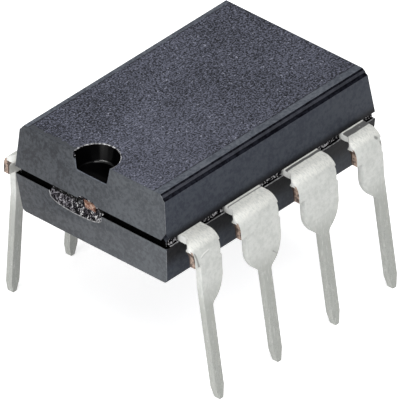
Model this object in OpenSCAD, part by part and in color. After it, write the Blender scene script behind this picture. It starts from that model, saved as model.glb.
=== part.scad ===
// Eight lead dual in-line integrated circuit in a moulded plastic body.
// +X runs along the body, away from the index notch, and +Z is up.
// The origin is the centre of the lead grid, at the level of the lead tips.

/* [Body] */
// Length of the body at the parting line
body_length = 9.14; // [9:0.01:9.6]
// Width of the body at the parting line
body_width = 6.25; // [6.05:0.01:6.5]
// Height of the upper half above the lead frame
cap_height = 1.54; // [1.4:0.01:1.9]
// Height of the lower half below the lead frame
base_height = 1.35; // [1.2:0.01:1.6]
// Mould draft of the upper half, in degrees
cap_draft = 5.5; // [3:0.5:8]
// Mould draft of the long sides of the lower half, in degrees
base_side_draft = 6; // [3:0.5:8]
// Mould draft of the ends of the lower half, in degrees
base_end_draft = 4; // [2:0.5:8]
// Width of the chamfer along the two long top edges
chamfer_width = 0.18; // [0.1:0.01:0.3]
// Drop of the chamfer along the two long top edges
chamfer_drop = 0.2; // [0.1:0.01:0.3]
// Radius of the two long bottom edges
base_edge_radius = 0.24; // [0.1:0.01:0.4]
// Depth of the parting groove between the two halves
groove_depth = 0.12; // [0.05:0.01:0.2]
// Height of the chip broken from the near corner, above the groove
corner_chip = 0.2; // [0.1:0.01:0.3]
// Width of that chip along the groove
chip_width = 0.12; // [0.05:0.01:0.2]

/* [Index notch] */
// Radius of the notch at the top face
notch_radius = 0.755; // [0.5:0.005:0.9]
// Draft of the notch wall, in degrees
notch_draft = 10; // [0:1:15]
// Distance of the notch centre inside the top edge of the end face
notch_setback = 0.16; // [0.05:0.01:0.3]
// Depth of the notch below the top face
notch_depth = 0.6; // [0.4:0.01:0.7]

/* [Gate mark] */
// Width of the broken gate on the notched end
gate_width = 2.14; // [1.5:0.01:2.6]
// Height of the broken gate, below the groove
gate_height = 0.41; // [0.25:0.01:0.6]
// Sideways offset of the broken gate from the middle of the end
gate_offset = 0.65; // [0:0.01:0.8]
// Depth of the broken gate into the end face
gate_depth = 0.1; // [0.04:0.01:0.15]
// Roundness of the outline of the broken gate, from 0.3 for square to 1 for an ellipse
gate_roundness = 0.5; // [0.3:0.05:1]

/* [Leads] */
// Distance between neighbouring leads
lead_pitch = 2.54; // [2.5:0.01:2.6]
// Height of the top of the lead frame above the lead tips
lead_height = 5.48; // [5.2:0.01:6]
// Thickness of the lead frame
frame_thickness = 0.25; // [0.2:0.01:0.3]
// Distance between the outer faces of the two rows, just under the bends
row_span = 7.94; // [7.7:0.01:8.4]
// Outer radius of the bend
bend_radius = 0.5; // [0.35:0.01:0.6]
// Width of the shoulder of a middle lead
shoulder_width = 1.45; // [1.3:0.01:1.6]
// Width of the stalk
stalk_width = 0.36; // [0.3:0.01:0.5]
// Width of the lead tip
tip_width = 0.16; // [0.1:0.01:0.28]
// Length of the taper at the lead tip
tip_length = 0.42; // [0.3:0.01:0.6]
// Height above the tips at which the shoulder starts to curve in
neck_height = 4.1; // [3.95:0.01:4.2]
// Radius of the shoulder's lower corner
neck_radius = 0.95; // [0.8:0.01:1.1]
// Radius of the corner between neck and stalk
stalk_fillet = 0.2; // [0.1:0.01:0.35]
// Outward lean of the shoulder, in degrees
shoulder_lean = 1; // [0:0.5:3]
// Outward lean of the stalk, in degrees
stalk_lean = 6.5; // [3.5:0.5:8]
// Height above the tips at which the lead starts to lean out further
kink_height = 3.95; // [3.7:0.01:4.1]
// Radius of that second bend
kink_radius = 2; // [1:0.1:3]

/* [Cut dam bar] */
// Height of the cut dam bar on the edge of each shoulder
dam_height = 0.5; // [0.3:0.01:0.6]
// Drop of the cut dam bar below the underside of the lead frame
dam_drop = 0.02; // [0.01:0.01:0.2]
// Length of the stub that the cut leaves towards the notched end
dam_stub = 0.25; // [0.05:0.01:0.3]
// Distance from the body wall at which the edge of the shoulder starts to flare out to the stub
flare_start = 0.22; // [0.1:0.01:0.3]
// Distance from the body wall at which it is as wide as the stub
flare_full = 0.6; // [0.45:0.01:0.65]
// Depth of the nick that the cut leaves on the other edge
dam_nick = 0.05; // [0.02:0.01:0.08]

/* [Die and wires] */
// Length of the die paddle
paddle_length = 2.5; // [2.3:0.01:2.7]
// Width of the die paddle
paddle_width = 2.3; // [2.1:0.01:2.5]
// Width of the tie bars that hold the paddle
tie_bar_width = 0.45; // [0.3:0.01:0.6]
// Sideways offset of the tie bars
tie_bar_offset = 0.1; // [0:0.01:0.2]
// Gap between the paddle and the inner lead tips
finger_gap = 0.25; // [0.2:0.01:0.35]
// Width of the inner lead tips
finger_width = 0.5; // [0.35:0.01:0.6]
// Distance of the inner tip of each middle lead from the middle of the paddle
finger_place = 0.75; // [0.65:0.01:0.9]
// Length over which an inner lead keeps its shoulder width
root_length = 0.35; // [0.2:0.01:0.5]
// Distance of the mould lock hole in each corner lead from the lead's root
lock_hole_reach = 0.56; // [0.5:0.01:0.6]
// Radius of the mould lock hole
lock_hole_radius = 0.18; // [0.1:0.01:0.22]
// Length of the silicon die
die_length = 1.7; // [1.5:0.01:2]
// Width of the silicon die
die_width = 1.45; // [1.3:0.01:1.8]
// Thickness of the silicon die
die_thickness = 0.3; // [0.2:0.01:0.4]
// Thickness of the die attach layer
attach_thickness = 0.03; // [0.02:0.005:0.05]
// Distance of the bond pads inside the edge of the die
pad_inset = 0.12; // [0.08:0.01:0.2]
// Diameter of the bond wires
wire_diameter = 0.034; // [0.025:0.001:0.05]
// Diameter of the ball at the pad end of a bond wire
ball_diameter = 0.09; // [0.07:0.005:0.12]
// Height of the wire loops above the die, up to the start of the curve
loop_height = 0.14; // [0.1:0.01:0.25]
// Radius of the curve at the top of a wire loop
loop_radius = 0.12; // [0.08:0.01:0.2]

/* [Hidden] */
$fn = 64;

leads_per_row = 4;
half_length = body_length / 2;
half_width = body_width / 2;
frame_top = lead_height;
frame_bottom = frame_top - frame_thickness;
body_top = frame_top + cap_height;
body_bottom = frame_bottom - base_height;
// The finger of each lead starts at the floor of the parting groove
root_y = half_width - groove_depth;
// The inner lead tips stand off from the paddle by the finger gap
finger_tip_y = paddle_width / 2 + finger_gap;
corner_tip_x = paddle_length / 2 + finger_gap + finger_width / 2;
attach_top = frame_top + attach_thickness;
die_top = attach_top + die_thickness;
// Cutting shapes run past the faces that they cut
margin = 1;

function arc(cx, cy, r, from, to, steps) =
    [for (i = [0:steps]) let (a = from + (to - from) * i / steps) [cx + r * cos(a), cy + r * sin(a)]];
function mirror_x(points) = [for (i = [len(points) - 1:-1:0]) [-points[i][0], points[i][1]]];

// Section across the body, as half an outline from the middle of the base up to the top
side_x = function (z) half_width - (z - frame_top) * tan(cap_draft);
base_centre_z = body_bottom + base_edge_radius;
base_centre_y = half_width - (base_edge_radius + sin(base_side_draft) * (frame_bottom - base_centre_z))
    / cos(base_side_draft);
half_cross_section = concat(
    arc(base_centre_y, base_centre_z, base_edge_radius, -90, -base_side_draft, 6),
    [
        [half_width, frame_bottom],
        [half_width, frame_top],
        [side_x(body_top - chamfer_drop), body_top - chamfer_drop],
        [side_x(body_top - chamfer_drop) - chamfer_width, body_top]
    ]
);

// Section along the body, as half an outline
half_long_section = [
    [half_length - base_height * tan(base_end_draft), body_bottom],
    [half_length, frame_bottom],
    [half_length, frame_top],
    [half_length - cap_height * tan(cap_draft), body_top]
];
notch_x = -half_length + cap_height * tan(cap_draft) + notch_setback;

module moulding() {
    intersection() {
        rotate([90, 0, 90])
            linear_extrude(body_length + 2 * margin, center = true)
                polygon(concat(half_cross_section, mirror_x(half_cross_section)));
        rotate([90, 0, 0])
            linear_extrude(body_width + 2 * margin, center = true)
                polygon(concat(half_long_section, mirror_x(half_long_section)));
    }
}

module parting_groove() {
    translate([0, 0, frame_bottom])
        linear_extrude(frame_thickness)
            difference() {
                square([body_length + margin, body_width + margin], center = true);
                square([body_length - 2 * groove_depth, body_width - 2 * groove_depth], center = true);
            }
}

module index_notch() {
    translate([notch_x, 0, body_top - notch_depth])
        cylinder(
            r1 = notch_radius - notch_depth * tan(notch_draft),
            r2 = notch_radius + margin * tan(notch_draft),
            h = notch_depth + margin
        );
}

// Outline of the broken gate, looking at the end face
gate_outline = [
    for (a = [180:-15:0])
        [gate_width / 2 * cos(a), -gate_height * pow(sin(a), gate_roundness)]
];

module gate_break() {
    translate([gate_depth - half_length, gate_offset, frame_bottom])
        rotate([90, 0, -90])
            linear_extrude(gate_depth + margin)
                polygon(gate_outline);
}

// A sliver is broken from the corner of the upper half, beside lead 1
module chipped_corner() {
    translate([-half_length - margin, 0, 0])
        rotate([90, 0, 90])
            linear_extrude(margin + corner_chip)
                polygon([
                    [-half_width - margin, frame_top - frame_thickness / 2],
                    [-half_width + chip_width, frame_top - frame_thickness / 2],
                    [-half_width + chip_width, frame_top],
                    [-half_width, frame_top + corner_chip],
                    [-half_width - margin, frame_top + corner_chip]
                ]);
}

module moulded_body() {
    color([0.27, 0.28, 0.31])
        difference() {
            moulding();
            parting_groove();
            index_notch();
            gate_break();
            chipped_corner();
            for (i = [1:2 * leads_per_row]) lead_form(i);
            paddle_form();
            die_attach_form();
            die_form();
            for (i = [1:2 * leads_per_row]) wire_form(i);
        }
}

// Side view of a lead, as [distance from the middle of the chip, height]
bend_y = row_span / 2 - bend_radius;
bend_z = frame_top - bend_radius;
inner_radius = bend_radius - frame_thickness;
under_bend = [bend_y + bend_radius * cos(shoulder_lean), bend_z + bend_radius * sin(shoulder_lean)];
kink_start = [under_bend[0] + (under_bend[1] - kink_height) * tan(shoulder_lean), kink_height];
kink_centre = kink_start + kink_radius * [cos(shoulder_lean), sin(shoulder_lean)];
kink_end = kink_centre - kink_radius * [cos(stalk_lean), sin(stalk_lean)];
kink_end_inner = kink_end - frame_thickness * [cos(stalk_lean), sin(stalk_lean)];
bend_steps = 10;
lead_side_view = concat(
    [[root_y - root_length, frame_top]],
    arc(bend_y, bend_z, bend_radius, 90, shoulder_lean, bend_steps),
    arc(kink_centre[0], kink_centre[1], kink_radius, 180 + shoulder_lean, 180 + stalk_lean, 4),
    [
        [kink_end[0] + kink_end[1] * tan(stalk_lean), 0],
        [kink_end_inner[0] + kink_end_inner[1] * tan(stalk_lean), 0]
    ],
    arc(kink_centre[0], kink_centre[1], kink_radius + frame_thickness, 180 + stalk_lean, 180 + shoulder_lean, 4),
    arc(bend_y, bend_z, inner_radius, shoulder_lean, 90, bend_steps),
    [[root_y - root_length, frame_bottom]]
);

// Front view of a lead. One edge is the wide one, with the neck's two arcs and the cut dam
// bar, which sticks out by cut. The narrow edge of a corner lead runs straight down the stalk.
shoulder_half = shoulder_width / 2;
stalk_half = stalk_width / 2;
dam_top = frame_bottom - dam_drop;
neck_x = shoulder_half - neck_radius;
fillet_x = stalk_half + stalk_fillet;
neck_angle = acos((fillet_x - neck_x) / (neck_radius + stalk_fillet));
fillet_z = neck_height - (neck_radius + stalk_fillet) * sin(neck_angle);

function dam_cut(edge, cut) = [
    [edge, frame_top + margin],
    [edge, dam_top],
    [edge + cut, dam_top],
    [edge + cut, dam_top - dam_height],
    [edge, dam_top - dam_height]
];
function tip_corner() = [[stalk_half, tip_length], [tip_width / 2, 0]];
function wide_edge(cut) = concat(
    dam_cut(shoulder_half, cut),
    arc(neck_x, neck_height, neck_radius, 0, -neck_angle, 8),
    arc(fillet_x, fillet_z, stalk_fillet, 180 - neck_angle, 180, 4),
    tip_corner()
);
function narrow_edge(cut) = concat(dam_cut(stalk_half, cut), tip_corner());

module lead_strip() {
    rotate([90, 0, -90])
        linear_extrude(2 * shoulder_width, center = true)
            polygon(lead_side_view);
}

module outer_lead(left, right) {
    intersection() {
        lead_strip();
        translate([0, -root_y + root_length + margin, 0])
            rotate([90, 0, 0])
                linear_extrude(row_span)
                    polygon(concat(right, mirror_x(left)));
    }
}

// Seen from above, the edge of the lead flares out to the stub before it reaches the bend
flare_foot = dam_top - dam_height / 10;

module stub_flare(edge) {
    intersection() {
        lead_strip();
        translate([0, -half_width, flare_foot])
            linear_extrude(frame_top - flare_foot + margin)
                polygon(concat(
                    [[edge - dam_stub, -row_span / 2], [edge - dam_stub, -flare_start]],
                    [for (a = [0:15:180]) [
                        edge + dam_stub * (1 - cos(a)) / 2,
                        -flare_start - (flare_full - flare_start) * a / 180
                    ]],
                    [[edge + dam_stub, -row_span / 2]]
                ));
    }
}

// Inner part of a middle lead, from the body wall to beside the paddle
module middle_finger(lead_x) {
    linear_extrude(frame_thickness)
        polygon([
            [lead_x - shoulder_half, -root_y],
            [lead_x - shoulder_half, root_length - root_y],
            [-finger_place - finger_width / 2, -finger_tip_y - finger_width],
            [-finger_place - finger_width / 2, -finger_tip_y],
            [-finger_place + finger_width / 2, -finger_tip_y],
            [-finger_place + finger_width / 2, -finger_tip_y - finger_width],
            [lead_x + shoulder_half, root_length - root_y],
            [lead_x + shoulder_half, -root_y]
        ]);
}

// Inner part of a corner lead, which reaches round to the end of the paddle
module corner_finger(lead_x) {
    tip_near = corner_tip_x - finger_width / 2;
    tip_far = corner_tip_x + finger_width / 2;
    tip_y = tie_bar_width / 2 + tie_bar_offset + finger_gap;
    linear_extrude(frame_thickness)
        difference() {
            polygon([
                [lead_x - stalk_half, -root_y],
                [lead_x - stalk_half, 2 * root_length - root_y],
                [-tip_far, -tip_y],
                [-tip_near, -tip_y],
                [-tip_near, -tip_y - finger_width],
                [lead_x + shoulder_half, root_length - root_y],
                [lead_x + shoulder_half, -root_y]
            ]);
            translate([lead_x + shoulder_half / 2, lock_hole_reach - root_y])
                circle(r = lock_hole_radius);
        }
}

module corner_lead(lead_x, near_cut, far_cut) {
    translate([lead_x, 0, 0]) {
        outer_lead(narrow_edge(near_cut), wide_edge(far_cut));
        if (near_cut > 0) mirror([1, 0, 0]) stub_flare(stalk_half);
        if (far_cut > 0) stub_flare(shoulder_half);
    }
    translate([0, 0, frame_bottom]) corner_finger(lead_x);
}

module middle_lead(lead_x, near_cut, far_cut) {
    translate([lead_x, 0, 0]) {
        outer_lead(wide_edge(near_cut), wide_edge(far_cut));
        if (near_cut > 0) mirror([1, 0, 0]) stub_flare(shoulder_half);
        if (far_cut > 0) stub_flare(shoulder_half);
    }
    translate([0, 0, frame_bottom]) middle_finger(lead_x);
}

// Leads are numbered from the notch along the front row, and back along the other row.
// The dam bar was cut a little off centre, so every stub points to the notched end.
lead_row_x = function (place) (place - (leads_per_row - 1) / 2) * lead_pitch;

module front_lead(place) {
    if (place == 0) corner_lead(lead_row_x(0), dam_stub, -dam_nick);
    if (place == 1) middle_lead(lead_row_x(1), dam_stub, -dam_nick);
    if (place == 2) mirror([1, 0, 0]) middle_lead(lead_row_x(1), -dam_nick, dam_stub);
    if (place == 3) mirror([1, 0, 0]) corner_lead(lead_row_x(0), -dam_nick, dam_stub);
}

module lead_form(number) {
    if (number <= leads_per_row) front_lead(number - 1);
    else mirror([0, 1, 0]) front_lead(2 * leads_per_row - number);
}

module lead(number) {
    color([0.78, 0.79, 0.77]) lead_form(number);
}

module paddle_form() {
    translate([0, 0, frame_bottom])
        linear_extrude(frame_thickness) {
            square([paddle_length, paddle_width], center = true);
            translate([0, tie_bar_offset]) square([body_length, tie_bar_width], center = true);
        }
}

module die_paddle() {
    color([0.72, 0.45, 0.3]) paddle_form();
}

module die_attach_form() {
    translate([0, 0, frame_top + attach_thickness / 2])
        cube([die_length, die_width, attach_thickness], center = true);
}

module die_attach() {
    color([0.75, 0.75, 0.78]) die_attach_form();
}

module die_form() {
    translate([0, 0, attach_top + die_thickness / 2])
        cube([die_length, die_width, die_thickness], center = true);
}

module silicon_die() {
    color([0.35, 0.37, 0.45]) die_form();
}

// A bond wire rises from its ball on the pad, turns over, and runs straight down to the lead
function ring(centre, radius, slope, heading) =
    [for (i = [0:wire_sides - 1])
        let (a = 360 * i / wire_sides, u = radius * cos(a), v = radius * sin(a))
        centre + u * [cos(slope) * cos(heading), cos(slope) * sin(heading), sin(slope)]
            + v * [-sin(heading), cos(heading), 0]];
wire_sides = 8;
curve_steps = 6;

module bond_wire_between(pad, landing) {
    run = norm(landing - pad);
    heading = atan2(landing[1] - pad[1], landing[0] - pad[0]);
    start_z = die_top + loop_height;
    fall = start_z - frame_top;
    reach = run - loop_radius;
    // The straight run is the tangent from the landing to the curve
    slope = atan2(fall, reach) + asin(loop_radius / norm([reach, fall]));
    ahead = [cos(heading), sin(heading), 0];
    foot = [pad[0], pad[1], 0];
    wire_radius = wire_diameter / 2;
    ball_rings = [
        ring(foot + [0, 0, die_top], ball_diameter / 2, 0, heading),
        ring(foot + [0, 0, die_top + wire_diameter], ball_diameter / 2, 0, heading),
        ring(foot + [0, 0, die_top + 2 * wire_diameter], wire_radius, 0, heading)
    ];
    curve_rings = [for (i = [0:curve_steps])
        let (a = (90 + slope) * i / curve_steps)
        ring(
            foot + ahead * loop_radius * (1 - cos(a)) + [0, 0, start_z + loop_radius * sin(a)],
            wire_radius, -a, heading
        )];
    // The last ring is cut level, flush with the top of the lead
    last = [landing[0], landing[1], frame_top];
    landing_ring = [for (i = [0:wire_sides - 1])
        let (a = 360 * i / wire_sides)
        last - ahead * wire_radius * cos(a) / sin(slope)
            + wire_radius * sin(a) * [-sin(heading), cos(heading), 0]];
    rings = concat(ball_rings, curve_rings, [landing_ring]);
    count = len(rings);
    polyhedron(
        points = [for (r = rings) each r],
        faces = concat(
            [[for (i = [0:wire_sides - 1]) i]],
            [for (k = [0:count - 2]) for (i = [0:wire_sides - 1])
                let (a = k * wire_sides, b = (i + 1) % wire_sides)
                each [[a + i, a + wire_sides + i, a + wire_sides + b], [a + i, a + wire_sides + b, a + b]]],
            [[for (i = [wire_sides - 1:-1:0]) (count - 1) * wire_sides + i]]
        )
    );
}

module front_wire(place) {
    pad_y = -die_width / 2 + pad_inset;
    if (place == 0)
        bond_wire_between(
            [-die_length / 2 + pad_inset, pad_y / 2],
            [-corner_tip_x, pad_y / 2 - finger_width]
        );
    if (place == 1)
        bond_wire_between([-die_length / 4, pad_y], [-finger_place, -finger_tip_y - finger_width / 2]);
    if (place == 2) mirror([1, 0, 0]) front_wire(1);
    if (place == 3) mirror([1, 0, 0]) front_wire(0);
}

module wire_form(number) {
    if (number <= leads_per_row) front_wire(number - 1);
    else mirror([0, 1, 0]) front_wire(2 * leads_per_row - number);
}

module bond_wire(number) {
    color([0.9, 0.72, 0.3]) wire_form(number);
}

moulded_body();
lead(1);  // lead_1
lead(2);  // lead_2
lead(3);  // lead_3
lead(4);  // lead_4
lead(5);  // lead_5
lead(6);  // lead_6
lead(7);  // lead_7
lead(8);  // lead_8
die_paddle();
die_attach();
silicon_die();
bond_wire(1);  // bond_wire_1
bond_wire(2);  // bond_wire_2
bond_wire(3);  // bond_wire_3
bond_wire(4);  // bond_wire_4
bond_wire(5);  // bond_wire_5
bond_wire(6);  // bond_wire_6
bond_wire(7);  // bond_wire_7
bond_wire(8);  // bond_wire_8
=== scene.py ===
# %% [markdown]
# A DIP chip on a white table
#
# The object is an eight lead dual in-line package: a black moulded epoxy body, and two rows of
# four tin plated leads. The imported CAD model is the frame. It already holds every piece at its
# real size, so this script only finishes what the eye sees: the skin of the moulding, its
# index notch and broken gate, and the tin, the bare copper and the tool marks of the leads.

# %% Load the frame
import math

import bmesh
import bpy
from mathutils import Matrix, Vector, noise
from mathutils.bvhtree import BVHTree


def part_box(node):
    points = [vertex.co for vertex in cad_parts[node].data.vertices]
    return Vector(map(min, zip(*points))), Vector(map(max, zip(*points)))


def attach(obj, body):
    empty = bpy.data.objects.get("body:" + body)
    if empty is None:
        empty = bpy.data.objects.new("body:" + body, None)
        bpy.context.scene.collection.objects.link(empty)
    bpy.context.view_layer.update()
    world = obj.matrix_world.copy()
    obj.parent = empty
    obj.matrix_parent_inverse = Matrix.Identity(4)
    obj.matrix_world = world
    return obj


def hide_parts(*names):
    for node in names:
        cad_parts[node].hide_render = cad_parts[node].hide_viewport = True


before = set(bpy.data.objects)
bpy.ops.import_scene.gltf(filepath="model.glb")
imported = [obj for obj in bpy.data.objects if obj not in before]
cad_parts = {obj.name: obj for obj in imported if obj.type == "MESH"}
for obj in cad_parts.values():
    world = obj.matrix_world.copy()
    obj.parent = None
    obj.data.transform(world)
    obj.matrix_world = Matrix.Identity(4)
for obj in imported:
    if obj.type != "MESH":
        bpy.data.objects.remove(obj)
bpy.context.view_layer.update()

# %% [markdown]
# The whole chip is nine millimetres long. Blender's merge, bevel and cut tools are tuned for
# bigger things, so each piece is made on a bench where one unit is a millimetre, and it is
# scaled to metres when it is finished. The CAD model gives the levels that the pieces share.

# %% Sizes of the moulded body, in millimetres
MM = 0.001


def cad_box_mm(node):
    """Lowest and highest corner of a CAD node, in millimetres."""
    low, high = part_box(node)
    return low / MM, high / MM


body_low, body_high = cad_box_mm("moulded_body")
paddle_low, paddle_high = cad_box_mm("die_paddle")

half_length = body_high.x
half_width = body_high.y
body_top = body_high.z
body_bottom = body_low.z
frame_top = paddle_high.z
frame_bottom = paddle_low.z
groove_depth = 0.12
# How far each wall leans for every millimetre of height
cap_draft = math.tan(math.radians(5.5))
base_side_draft = math.tan(math.radians(6))
base_end_draft = math.tan(math.radians(4))
cap_height = body_top - frame_top
base_height = frame_bottom - body_bottom
# The narrow ledge along the two long top edges
chamfer_width = 0.18
chamfer_drop = 0.2
top_half_width = half_width - (cap_height - chamfer_drop) * cap_draft - chamfer_width
print("body", 2 * half_length, "x", 2 * half_width, "mm, top at", body_top)

# %% [markdown]
# The camera stands where the photographer's did: to the left of the notched end, 34.5 degrees
# above the table, and far away with a long lens, because the chip's parallel edges hardly
# converge. The small roll is how the camera was held.

# %% Camera
CAMERA_AZIMUTH = math.radians(-45.21)
CAMERA_ELEVATION = math.radians(34.50)
CAMERA_ROLL = math.radians(-2.43)
CAMERA_DISTANCE = 497.97
CAMERA_TARGET = Vector((-3.241, -3.297, 6.416))
SENSOR_WIDTH = 36.0
FRAME_PIXELS = 400
FOCAL_PIXELS = 16713.2


def aim_camera():
    """The camera, from its azimuth, elevation and roll about the target."""
    a, e = CAMERA_AZIMUTH, CAMERA_ELEVATION
    back = Vector((math.sin(a) * math.cos(e), -math.cos(a) * math.cos(e), math.sin(e)))
    level_right = Vector((math.cos(a), math.sin(a), 0))
    level_up = back.cross(level_right)
    right = math.cos(CAMERA_ROLL) * level_right + math.sin(CAMERA_ROLL) * level_up
    up = math.cos(CAMERA_ROLL) * level_up - math.sin(CAMERA_ROLL) * level_right
    data = bpy.data.cameras.new("camera")
    data.sensor_width = SENSOR_WIDTH
    data.lens = FOCAL_PIXELS / FRAME_PIXELS * SENSOR_WIDTH
    data.clip_start = 0.01
    data.clip_end = 5
    camera = bpy.data.objects.new("camera", data)
    bpy.context.scene.collection.objects.link(camera)
    place = Matrix((right, up, back)).transposed().to_4x4()
    place.translation = (CAMERA_TARGET + back * CAMERA_DISTANCE) * MM
    camera.matrix_world = place
    bpy.context.scene.camera = camera
    return camera


camera = aim_camera()
print("camera lens", round(camera.data.lens, 1), "mm at", camera.location)

# %% [markdown]
# A material is a graph of nodes. These helpers keep the graphs short to write: one adds a node
# and sets or links its inputs, and the others are the few shapes of graph that the finishes
# share, such as a soft step between two values, or noise at a size given in millimetres.

# %% Helpers for materials


def add(tree, kind, inputs=None, **settings):
    """A new node. inputs maps a socket's name or number to a value or to an output socket."""
    node = tree.nodes.new(kind)
    for name, value in settings.items():
        setattr(node, name, value)
    for key, value in (inputs or {}).items():
        if isinstance(value, bpy.types.NodeSocket):
            tree.links.new(value, node.inputs[key])
        else:
            node.inputs[key].default_value = value
    return node


def math_node(tree, operation, a, b=0.0, c=0.0):
    """One sum on numbers or output sockets. Only MULTIPLY_ADD uses c."""
    return add(tree, "ShaderNodeMath", {0: a, 1: b, 2: c}, operation=operation).outputs[0]


def times(tree, value, factor):
    return math_node(tree, "MULTIPLY", value, factor)


def step(tree, value, low, high):
    """0 below low, 1 above high, and smooth between them. Low may be the larger number."""
    node = add(
        tree,
        "ShaderNodeMapRange",
        {"Value": value, "From Min": low, "From Max": high, "To Min": 0.0, "To Max": 1.0},
        interpolation_type="SMOOTHSTEP",
    )
    return node.outputs["Result"]


def both(tree, *masks):
    """1 where every mask is 1."""
    result = masks[0]
    for mask in masks[1:]:
        result = times(tree, result, mask)
    return result


def blend_colours(tree, share, under, over):
    """Under where share is 0, over where it is 1. Each is three numbers or an output socket."""
    node = add(tree, "ShaderNodeMix", data_type="RGBA")
    for key, value in ((0, share), (6, under), (7, over)):
        if isinstance(value, bpy.types.NodeSocket):
            tree.links.new(value, node.inputs[key])
        elif key == 0:
            node.inputs[key].default_value = value
        else:
            node.inputs[key].default_value = (*value, 1)
    return node.outputs[2]


def grain(tree, place, size, detail=2.0, roughness=0.5, stretch=(1, 1, 1), distortion=0.0):
    """Noise from 0 to 1 whose lumps are about size millimetres across."""
    scale = tuple(s / (size * MM) for s in stretch)
    mapping = add(tree, "ShaderNodeMapping", {"Vector": place, "Scale": scale})
    node = add(
        tree,
        "ShaderNodeTexNoise",
        {
            "Vector": mapping.outputs[0],
            "Scale": 1.0,
            "Detail": detail,
            "Roughness": roughness,
            "Distortion": distortion,
        },
    )
    return node.outputs["Fac"]


def bump(tree, height, depth):
    """A bump whose height socket runs from 0 to 1 over depth millimetres."""
    node = add(tree, "ShaderNodeBump", {"Height": height, "Distance": depth * MM, "Strength": 1.0})
    return node.outputs["Normal"]


def new_material(name):
    """A material with its tree, its Principled shader and its object coordinates."""
    material = bpy.data.materials.new(name)
    material.use_nodes = True
    tree = material.node_tree
    shader = tree.nodes["Principled BSDF"]
    place = add(tree, "ShaderNodeTexCoord").outputs["Object"]
    return material, tree, shader, place


def axes(tree, place):
    """The three coordinates, in millimetres."""
    scaled = add(
        tree, "ShaderNodeVectorMath", {0: place, "Scale": 1 / MM}, operation="SCALE"
    ).outputs[0]
    parts = add(tree, "ShaderNodeSeparateXYZ", {0: scaled})
    return parts.outputs[0], parts.outputs[1], parts.outputs[2]


def near_line(tree, place, start, end, width):
    """1 close to the straight line between two points, and 0 beyond width. All in millimetres."""
    along = Vector(end) - Vector(start)
    from_start = add(
        tree, "ShaderNodeVectorMath", {0: place, 1: Vector(start) * MM}, operation="SUBTRACT"
    ).outputs[0]
    per_length = along / (MM * along.length_squared)
    share = add(tree, "ShaderNodeVectorMath", {0: from_start, 1: per_length}, operation="DOT_PRODUCT")
    share = math_node(tree, "MAXIMUM", math_node(tree, "MINIMUM", share.outputs["Value"], 1.0), 0.0)
    nearest = add(tree, "ShaderNodeVectorMath", {0: along * MM, "Scale": share}, operation="SCALE")
    away = add(
        tree, "ShaderNodeVectorMath", {0: from_start, 1: nearest.outputs[0]}, operation="DISTANCE"
    )
    return step(tree, away.outputs["Value"], width * MM, 0.4 * width * MM)


# %% [markdown]
# The moulding compound is black epoxy filled with silica. Out of a fine steel mould its skin is
# smooth and dull, with a faint cloudiness where the filler lies closer to the surface. It has
# a little sheen, so it is a dark dielectric with a middling roughness. The same compound makes
# nine finishes, so one function builds the skin, and each finish changes only its two tones,
# its gloss, and a ramp of other tones along one axis, which paints shade on the sides next to
# the leads and a sheen on the notched end.

# %% Smooth skin of the moulding compound
RESIN = (0.020, 0.024, 0.036)
RESIN_CLOUD = (0.036, 0.042, 0.054)


def smooth_resin(name, dark=RESIN, light=RESIN_CLOUD, gloss=0.3, light_ramp=None):
    """Smooth skin. The last argument is (axis, start, end, dark, light): other tones that grow along an
    axis, used for painted shade and painted sheen.
    """
    material, tree, shader, place = new_material(name)
    clouds = grain(tree, place, 0.9, detail=2)
    mottle = grain(tree, place, 0.13, detail=3, roughness=0.7)
    share = math_node(tree, "ADD", times(tree, clouds, 0.45), mottle)
    share = step(tree, share, 0.58, 0.87)
    colour = blend_colours(tree, share, dark, light)
    if light_ramp:
        axis, start, end, ramp_dark, ramp_light = light_ramp
        tones = blend_colours(tree, share, ramp_dark, ramp_light)
        ramp_share = step(tree, axes(tree, place)[axis], start, end)
        colour = blend_colours(tree, ramp_share, colour, tones)
    tree.links.new(colour, shader.inputs["Base Color"])
    shader.inputs["Roughness"].default_value = 0.52
    shader.inputs["Specular IOR Level"].default_value = gloss
    fine = grain(tree, place, 0.04, detail=3, roughness=0.6)
    tree.links.new(bump(tree, fine, 0.0025), shader.inputs["Normal"])
    return material


Y_AXIS = 1
Z_AXIS = 2
resin_skin = smooth_resin("resin_smooth")
# Painted shade darkens the sides next to the leads, above them and between them
lead_shade = ((0.005, 0.005, 0.007), (0.009, 0.009, 0.011))
above_leads = (Z_AXIS, frame_top + 0.30, frame_top + 0.02, *lead_shade)
thin_lead_shade = ((0.008, 0.008, 0.010), (0.015, 0.015, 0.017))
between_leads = (Z_AXIS, frame_bottom - 0.95, frame_bottom - 0.30, *thin_lead_shade)
side_tones = ((0.036, 0.041, 0.055), (0.054, 0.061, 0.075), 0.08)
resin_upper_side = smooth_resin("resin_upper_side", *side_tones, light_ramp=above_leads)
resin_lower_side = smooth_resin("resin_lower_side", *side_tones, light_ramp=between_leads)
resin_border = smooth_resin("resin_border", (0.070, 0.078, 0.096), (0.130, 0.142, 0.165), 0.1)
# Painted shade: the near black finish of the ledge's seams stands for the shade in its small steps
resin_seam_shade = smooth_resin("resin_seam_shade", (0.002, 0.002, 0.004), (0.012, 0.013, 0.019), 0.02)
resin_ledge = smooth_resin("resin_ledge", (0.028, 0.030, 0.038), (0.044, 0.046, 0.058), 0.1)
# A painted sheen covers the notched end, palest at its near corner
end_sheen = (Y_AXIS, 2.8, -3.2, (0.046, 0.051, 0.059), (0.078, 0.086, 0.096))
resin_end = smooth_resin("resin_end", (0.012, 0.014, 0.019), (0.042, 0.047, 0.055), light_ramp=end_sheen)
# Painted highlight: the thin radius of the upright corners gets a pale finish
resin_edge_highlight = smooth_resin("resin_edge_highlight", (0.16, 0.17, 0.18), (0.30, 0.31, 0.33))
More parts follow.
